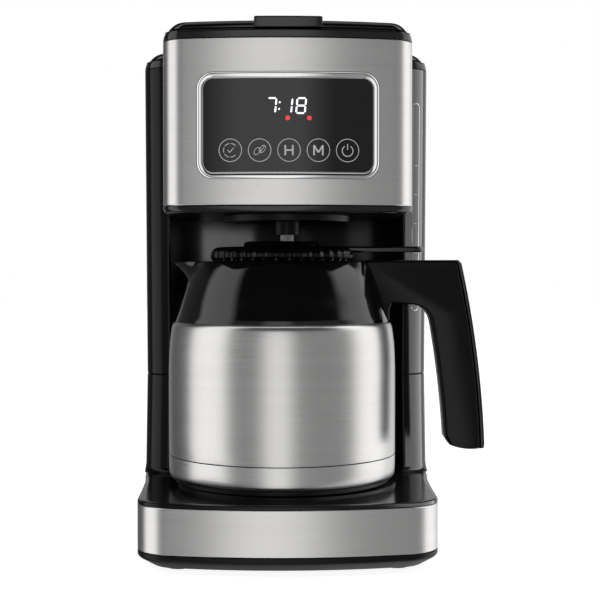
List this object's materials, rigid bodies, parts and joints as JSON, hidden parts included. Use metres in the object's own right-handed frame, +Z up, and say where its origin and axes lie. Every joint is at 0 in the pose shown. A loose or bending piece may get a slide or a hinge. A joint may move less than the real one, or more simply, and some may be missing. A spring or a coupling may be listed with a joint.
{
  "type": "drip coffee maker",
  "caption": "Drip coffee maker: steel-banded base, rear column with water tank, overhanging head with control glass and lid, and a lidded steel thermal carafe with handle.",
  "frame": {"origin": "on the table under the centre of the carafe seat; the drain hole in the bottom cover is on the same axis", "axes": "+Z up, -Y to the front with the control glass, +X to the side of the carafe handle"},
  "size_m": [0.2457, 0.2463, 0.3603],
  "materials": {
    "black_satin": "satin",
    "rubber": "matt",
    "steel_parts": "bright",
    "brushed_steel": "brushed",
    "black_gloss": "high gloss",
    "aluminium": "extruded",
    "ceramic": "ceramic",
    "board": "solder mask",
    "components": "satin",
    "clear_silicone": "satin",
    "white_plastic": "satin",
    "wire": "satin",
    "clear_plastic": "clear",
    "silicone": "matt",
    "chrome_trim": "mirror",
    "black_glass": "mirror",
    "gold_mesh": "fine mesh"
  },
  "bodies": {
    "machine": {"bottom_cover": "black_satin", "feet": "rubber", "base_screws": "steel_parts", "base_band": "brushed_steel", "base_housing": "black_gloss", "carafe_seat": "black_satin", "cord_gland": "black_satin", "heater": "aluminium", "heater_clamps": "steel_parts", "thermostat": "ceramic", "thermal_fuse": "ceramic", "power_board": "board", "power_board_parts": "components", "inlet_tube": "clear_silicone", "check_valve_body": "white_plastic", "riser_tube": "clear_silicone", "wire_harness": "wire", "rear_housing": "black_gloss", "housing_screws": "steel_parts", "tank": "clear_plastic", "tank_seal": "silicone", "level_window": "clear_plastic", "head_housing": "black_satin", "head_trim": "black_gloss", "front_panel": "brushed_steel", "panel_bezel": "chrome_trim", "control_glass": "black_glass", "display_module": "white_plastic", "control_board": "board", "board_screws": "steel_parts", "brew_basket": "black_satin", "permanent_filter": "gold_mesh", "valve_spring": "steel_parts", "spray_arm": "white_plastic", "spray_head": "white_plastic", "top_frame": "black_gloss", "lid_hinge_pins": "steel_parts"},
    "lid": {"lid": "black_gloss", "lid_tab": "black_gloss"},
    "carafe": {"carafe_foot": "black_satin", "carafe_cap": "brushed_steel", "carafe_shell": "brushed_steel", "carafe_liner": "brushed_steel", "carafe_collar": "black_gloss", "carafe_handle": "black_satin", "handle_spine": "black_gloss", "handle_screw": "steel_parts"},
    "carafe_lid": {"carafe_lid": "black_gloss", "lid_gasket": "silicone", "lever_pin": "steel_parts", "stopper_spring": "steel_parts"},
    "lid_lever": {"lid_lever": "black_gloss"},
    "lid_stopper": {"lid_stopper": "white_plastic"},
    "drip_valve": {"valve_plunger": "white_plastic", "valve_seal": "silicone"},
    "check_ball": {"check_ball": "steel_parts"}
  },
  "joints": [
    {"name": "lid_hinge", "type": "hinge", "parent": "machine", "child": "lid", "pos_m": [0, 0.14, 0.3531], "axis": [-1, 0, 0], "range_deg": [0, 95]},
    {"name": "carafe_slide", "type": "slide", "parent": "machine", "child": "carafe", "axis": [0, -1, 0], "range_m": [0, 0.26]},
    {"name": "carafe_lid_turn", "type": "hinge", "parent": "carafe", "child": "carafe_lid", "pos_m": [-0.0035, 0, 0.208], "axis": [0, 0, 1], "range_deg": [0, 20]},
    {"name": "lever_hinge", "type": "hinge", "parent": "carafe_lid", "child": "lid_lever", "pos_m": [0.0365, 0, 0.2115], "axis": [0, 1, 0], "range_deg": [0, 5], "stiffness_Nm_per_rad": 1.5, "springref_deg": -1.72},
    {"name": "stopper_lift", "type": "slide", "parent": "carafe_lid", "child": "lid_stopper", "axis": [0, 0, 1], "range_m": [0, 0.0036], "deforming": ["stopper_spring"]},
    {"name": "valve_lift", "type": "slide", "parent": "machine", "child": "drip_valve", "axis": [0, 0, 1], "range_m": [0, 0.004], "stiffness_N_per_m": 300, "springref_m": -0.003, "deforming": ["valve_spring"]},
    {"name": "ball_lift", "type": "slide", "parent": "machine", "child": "check_ball", "axis": [0, 0, 1], "range_m": [0, 0.002]}
  ],
  "couplings": [
    {"joint": "stopper_lift", "follows": "lever_hinge", "m_per_rad": 0.04}
  ]
}
